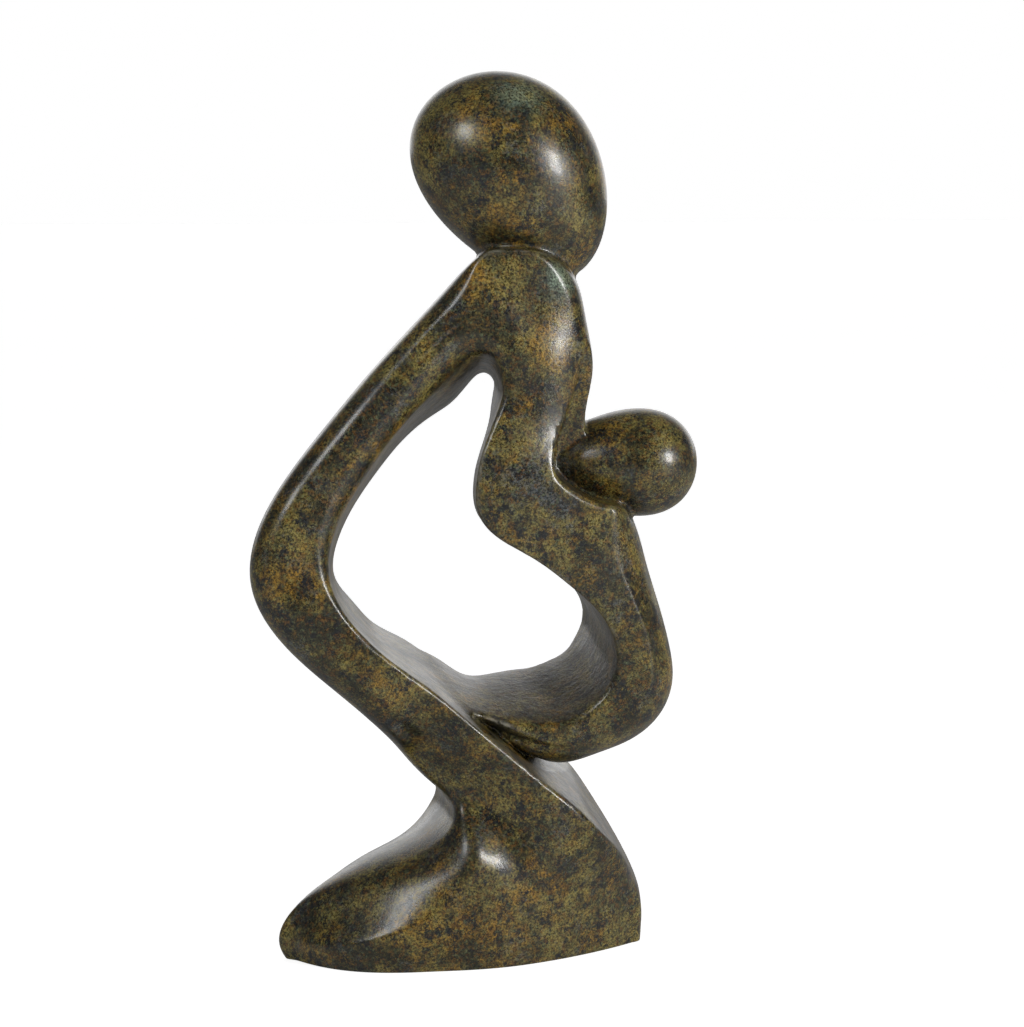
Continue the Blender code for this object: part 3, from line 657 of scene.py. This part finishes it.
def fine_surface():
    """The carving's mesh: the form on a fine grid, cut flat underneath, with the form's own normals."""
    stone = Stone(PLAN_SPACING)
    vertices, faces = stone.surface(CELL)
    scale = HEIGHT / DRAWN_HEIGHT
    middle = np.array([DRAWN_MIDDLE_X, 0, 0])
    mesh = bpy.data.meshes.new("carved_stone")
    mesh.from_pydata(((vertices - middle) * scale).tolist(), [], faces.tolist())
    cut_flat_underside(mesh)
    mesh.shade_smooth()

    points = np.empty(len(mesh.vertices) * 3, np.float32)
    mesh.vertices.foreach_get("co", points)
    points = points.reshape(-1, 3).astype(float)
    normals = stone.slope(points / scale + middle)
    normals /= np.linalg.norm(normals, axis=1)[:, None]
    corner_vertex = np.empty(len(mesh.loops), np.int32)
    mesh.loops.foreach_get("vertex_index", corner_vertex)
    corner_normals = normals[corner_vertex]
    for face in mesh.polygons:
        if face.normal.z < STRAIGHT_DOWN and face.center.z < ON_GROUND:
            corner_normals[list(face.loop_indices)] = (0, 0, -1)
    mesh.normals_split_custom_set(corner_normals.tolist())
    mark_edge_glint_and_wear(mesh, points, normals)
    mark_rasped_walls(mesh, stone, points / scale + middle, normals)
    return mesh


def mark(mesh, name, amounts):
    layer = mesh.attributes.new(name, "FLOAT", "POINT")
    layer.data.foreach_set("value", np.ascontiguousarray(amounts, np.float32))


def mark_edge_glint_and_wear(mesh, points, normals):
    """1 along crisp outer edges, where a highlight and wear are painted, 0 where the stone is flat,
    hollow or gently round.
    """
    ends = np.empty(2 * len(mesh.edges), np.int32)
    mesh.edges.foreach_get("vertices", ends)
    a, b = ends.reshape(-1, 2).T
    way = points[b] - points[a]
    squared = np.maximum((way**2).sum(1), LEAST_SQUARED_LENGTH)
    bend = ((normals[b] - normals[a]) * way).sum(1) / squared
    total = np.bincount(a, bend, len(points)) + np.bincount(b, bend, len(points))
    amount = np.bincount(a, minlength=len(points)) + np.bincount(b, minlength=len(points))
    curvature = total / np.maximum(amount, 1)
    mark(mesh, "glint_and_wear", ease((curvature - GLINT_AND_WEAR_FROM) / (GLINT_AND_WEAR_FULL - GLINT_AND_WEAR_FROM)))


def mark_rasped_walls(mesh, stone, drawn, normals):
    """1 on the walls behind crisp edges, which are rasped and not polished, 0 on faces and heads."""
    x, y, z = drawn.T
    heads = np.minimum(egg(x, y, z, MOTHER_HEAD), egg(x, y, z, CHILD_HEAD))
    wall = ease((WALL_FROM - np.abs(normals[:, 1])) / WALL_FADE)
    layers = stone.layers_at(x - turned_by(y, z), z)
    body, body_anchor, arm, arm_anchor = layers[0], layers[2], layers[5], layers[7]
    behind_edge = np.where(body < arm, body_anchor, arm_anchor)
    mark(mesh, "rasped", wall * ease(behind_edge) * ease(heads / HEAD_MARGIN))


def cut_flat_underside(mesh):
    """Takes off everything below z = 0 and closes the cut with one flat face."""
    work = bmesh.new()
    work.from_mesh(mesh)
    everything = work.verts[:] + work.edges[:] + work.faces[:]
    plane = {"plane_co": (0, 0, 0), "plane_no": (0, 0, 1), "clear_inner": True}
    bmesh.ops.bisect_plane(work, geom=everything, dist=CUT_TOLERANCE, **plane)
    rim = [edge for edge in work.edges if edge.is_boundary]
    for vert in {vert for edge in rim for vert in edge.verts}:
        vert.co.z = 0.0
    bmesh.ops.holes_fill(work, edges=rim, sides=0)
    bmesh.ops.recalc_face_normals(work, faces=work.faces)
    work.to_mesh(mesh)
    work.free()


class Shade:
    """Short ways to add nodes to a node tree."""

    def __init__(self, tree):
        self.tree = tree

    def add(self, kind, inputs=(), **settings):
        made = self.tree.nodes.new(kind)
        for name, value in settings.items():
            setattr(made, name, value)
        for name, value in dict(inputs).items():
            if isinstance(value, bpy.types.NodeSocket):
                self.tree.links.new(value, made.inputs[name])
            else:
                made.inputs[name].default_value = value
        return made

    def noise(self, vector, size, detail, roughness):
        """Fractal noise of about 0 to 1 whose largest features are about size metres across."""
        inputs = {"Vector": vector, "Scale": 1 / size, "Detail": detail, "Roughness": roughness}
        return self.add("ShaderNodeTexNoise", inputs).outputs["Fac"]

    def math(self, operation, a, b=0.0, c=0.0):
        return self.add("ShaderNodeMath", {0: a, 1: b, 2: c}, operation=operation).outputs[0]

    def between(self, value, low, high, to_low=0.0, to_high=1.0):
        """The value's smooth step from low to high."""
        inputs = {"Value": value, "From Min": low, "From Max": high, "To Min": to_low, "To Max": to_high}
        made = self.add("ShaderNodeMapRange", inputs, interpolation_type="SMOOTHSTEP")
        return made.outputs["Result"]

    def mix(self, amount, a, b, blend="MIX"):
        made = self.add("ShaderNodeMix", data_type="RGBA", blend_type=blend)
        for socket, value in zip((made.inputs[0], made.inputs[6], made.inputs[7]), (amount, a, b)):
            if isinstance(value, bpy.types.NodeSocket):
                self.tree.links.new(value, socket)
            elif isinstance(value, tuple):
                socket.default_value = (*value, 1.0)
            else:
                socket.default_value = value
        return made.outputs[2]


def near_places(s, place, spots):
    """1 at each spot, falling to 0 at its reach."""
    total = 0.0
    for centre, reach in spots:
        away = s.add("ShaderNodeVectorMath", {0: place, 1: centre}, operation="DISTANCE").outputs["Value"]
        total = s.math("ADD", s.between(away, 0.0, reach, 1.0, 0.0), total)
    return total


def serpentine():
    """Waxed serpentine: olive and ochre grain at every scale, gold and blue clouds, dark flecks, with a
    painted edge highlight and spots of painted sheen.
    """
    material = bpy.data.materials.new("polished_serpentine")
    material.use_nodes = True
    tree = material.node_tree
    shader = tree.nodes["Principled BSDF"]
    s = Shade(tree)
    place = s.add("ShaderNodeTexCoord").outputs["Object"]

    glint_and_wear = s.add("ShaderNodeAttribute", attribute_name="glint_and_wear").outputs["Fac"]
    rasped = s.add("ShaderNodeAttribute", attribute_name="rasped").outputs["Fac"]
    grain = s.noise(place, *GRAIN_NOISE)
    tone = s.noise(place, *TONE_NOISE)
    colour = s.mix(s.between(tone, *OCHRE_STEP), OLIVE, OCHRE)

    gold_here = s.math("MULTIPLY", near_places(s, place, GOLD_PATCHES), GOLD_RISE)
    gold = s.math("ADD", s.noise(place, *GOLD_NOISE), gold_here)
    colour = s.mix(s.between(gold, *GOLD_STEP), colour, GOLD)
    # At the blue places, on the arm and at the waist's inner edge, the blue is a painted sheen.
    painted_blue_sheen = s.math("MULTIPLY", near_places(s, place, BLUE_SHEEN_SPOTS), BLUE_SHEEN_RISE)
    blue = s.math("ADD", s.noise(place, *BLUE_NOISE), painted_blue_sheen)
    colour = s.mix(s.between(blue, *BLUE_STEP), colour, BLUE)
    flecks = s.noise(place, *FLECK_NOISE)
    colour = s.mix(s.between(flecks, *FLECK_STEP), colour, DARK)
    rust = s.noise(place, *RUST_NOISE)
    colour = s.mix(s.between(rust, *RUST_STEP), colour, RUST)
    specks = s.noise(place, *SPECK_NOISE)
    colour = s.mix(s.between(specks, *MOSS_STEP), colour, MOSS)
    cloud = s.between(s.noise(place, *CLOUD_NOISE), *CLOUD_STEP)
    # High on the mother's head the green is a painted sheen; on the shoulder it is the stone's.
    green = s.math("MULTIPLY", near_places(s, place, GREEN_PATCH_AND_SHEEN), cloud)
    colour = s.mix(green, colour, GREEN)
    grain_tone = s.between(grain, *GRAIN_STEP)
    grey = s.add("ShaderNodeCombineColor", {0: grain_tone, 1: grain_tone, 2: grain_tone}).outputs[0]
    colour = s.mix(1.0, colour, grey, "MULTIPLY")
    dusty = s.math("MULTIPLY", rasped, s.between(grain, *DUST_STEP))
    colour = s.mix(dusty, colour, DUST)
    # Crisp outer edges are painted lighter: a highlight, partly wear.
    edge_mark_breaks = s.between(s.noise(place, *EDGE_MARK_NOISE), *EDGE_MARK_STEP)
    colour = s.mix(s.math("MULTIPLY", glint_and_wear, edge_mark_breaks), colour, EDGE_GLINT_AND_WEAR)
    tree.links.new(colour, shader.inputs["Base Color"])

    coarse_wear = s.math("MULTIPLY", s.noise(place, *WEAR_NOISE), COARSE_WEAR)
    wear = s.math("ADD", coarse_wear, s.math("MULTIPLY", grain, FINE_WEAR))
    rough = s.math("MULTIPLY_ADD", rasped, RASPED_ROUGHNESS, s.between(wear, *ROUGHNESS_STEP))
    tree.links.new(rough, shader.inputs["Roughness"])
    shader.inputs["IOR"].default_value = STONE_IOR
    shader.inputs["Coat Weight"].default_value = WAX_WEIGHT
    shader.inputs["Coat Roughness"].default_value = WAX_ROUGHNESS

    pits = s.math("MULTIPLY", s.noise(place, *PIT_NOISE), PIT_RELIEF)
    relief = s.math("MULTIPLY_ADD", rasped, RASPED_RELIEF, POLISHED_RELIEF)
    rasping = s.math("MULTIPLY", s.noise(place, *RASP_NOISE), relief)
    height = s.math("ADD", pits, rasping)
    inputs = {"Strength": RELIEF_STRENGTH, "Distance": RELIEF_HEIGHT, "Height": height}
    bump = s.add("ShaderNodeBump", inputs)
    tree.links.new(bump.outputs["Normal"], shader.inputs["Normal"])
    return material


def stone_piece():
    piece = link(bpy.data.objects.new("carved_stone", fine_surface()))
    piece.data.materials.append(serpentine())
    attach(piece, "root")
    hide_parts("mother_and_child")


def floor():
    mesh = bpy.data.meshes.new("floor")
    reach = FLOOR_REACH
    corners = [(-reach, -reach, 0), (reach, -reach, 0), (reach, reach, 0), (-reach, reach, 0)]
    mesh.from_pydata(corners, [], [(0, 1, 2, 3)])
    ground = link(bpy.data.objects.new("floor", mesh))
    ground.location.z = -FLOOR_GAP
    material = bpy.data.materials.new("pale_floor")
    material.use_nodes = True
    s = Shade(material.node_tree)
    shader = material.node_tree.nodes["Principled BSDF"]
    place = s.add("ShaderNodeTexCoord").outputs["Object"]
    tones = (FLOOR_TONE - FLOOR_TONE_VARIES, FLOOR_TONE + FLOOR_TONE_VARIES)
    tone = s.between(s.noise(place, *FLOOR_NOISE), *FLOOR_STEP, *tones)
    paint = s.add("ShaderNodeCombineColor", {0: tone, 1: tone, 2: tone}).outputs[0]
    material.node_tree.links.new(paint, shader.inputs["Base Color"])
    shader.inputs["Roughness"].default_value = FLOOR_ROUGHNESS
    shader.inputs["Emission Color"].default_value = WHITE
    seen = s.add("ShaderNodeLightPath").outputs["Is Camera Ray"]
    glow = s.math("MULTIPLY", seen, FLOOR_GLOW)
    material.node_tree.links.new(glow, shader.inputs["Emission Strength"])
    mesh.materials.append(material)


def surroundings():
    """A bright studio behind the carving that falls off toward the camera's side."""
    world = bpy.data.worlds.new("studio")
    bpy.context.scene.world = world
    world.use_nodes = True
    tree = world.node_tree
    s = Shade(tree)
    away = -camera_axes()[2]
    direction = s.add("ShaderNodeTexCoord").outputs["Generated"]
    facing = s.add("ShaderNodeVectorMath", {0: direction, 1: away}, operation="DOT_PRODUCT")
    light = s.between(facing.outputs["Value"], *BACKDROP_EDGE, DARK_SIDE, BRIGHT_SIDE)
    seen = s.add("ShaderNodeLightPath").outputs["Is Camera Ray"]
    strength = s.add("ShaderNodeMix", {0: seen, 2: light, 3: SEEN_BACKDROP}).outputs[0]
    tree.links.new(strength, tree.nodes["Background"].inputs["Strength"])
    tree.nodes["Background"].inputs["Color"].default_value = WHITE


def soft_boxes():
    right, up, toward = camera_axes()
    for name, (place, distance, width, height, power, colour) in SOFT_BOXES.items():
        light = bpy.data.lights.new(name, "AREA")
        light.shape = "RECTANGLE"
        light.size = width
        light.size_y = height
        light.energy = power
        light.color = colour
        box = link(bpy.data.objects.new(name, light))
        way = (right * place[0] + up * place[1] + toward * place[2]).normalized()
        box.location = CAMERA_TARGET + way * distance
        box.rotation_euler = way.to_track_quat("Z", "Y").to_euler()


def camera():
    _, _, toward = camera_axes()
    lens = bpy.data.cameras.new("camera")
    lens.lens = CAMERA_LENS
    lens.clip_end = CAMERA_SEES
    view = link(bpy.data.objects.new("camera", lens))
    view.location = CAMERA_TARGET + toward * CAMERA_DISTANCE
    view.rotation_euler = toward.to_track_quat("Z", "Y").to_euler()
    bpy.context.scene.camera = view


bpy.context.scene.view_settings.view_transform = "Standard"
camera()
soft_boxes()
surroundings()
floor()
stone_piece()
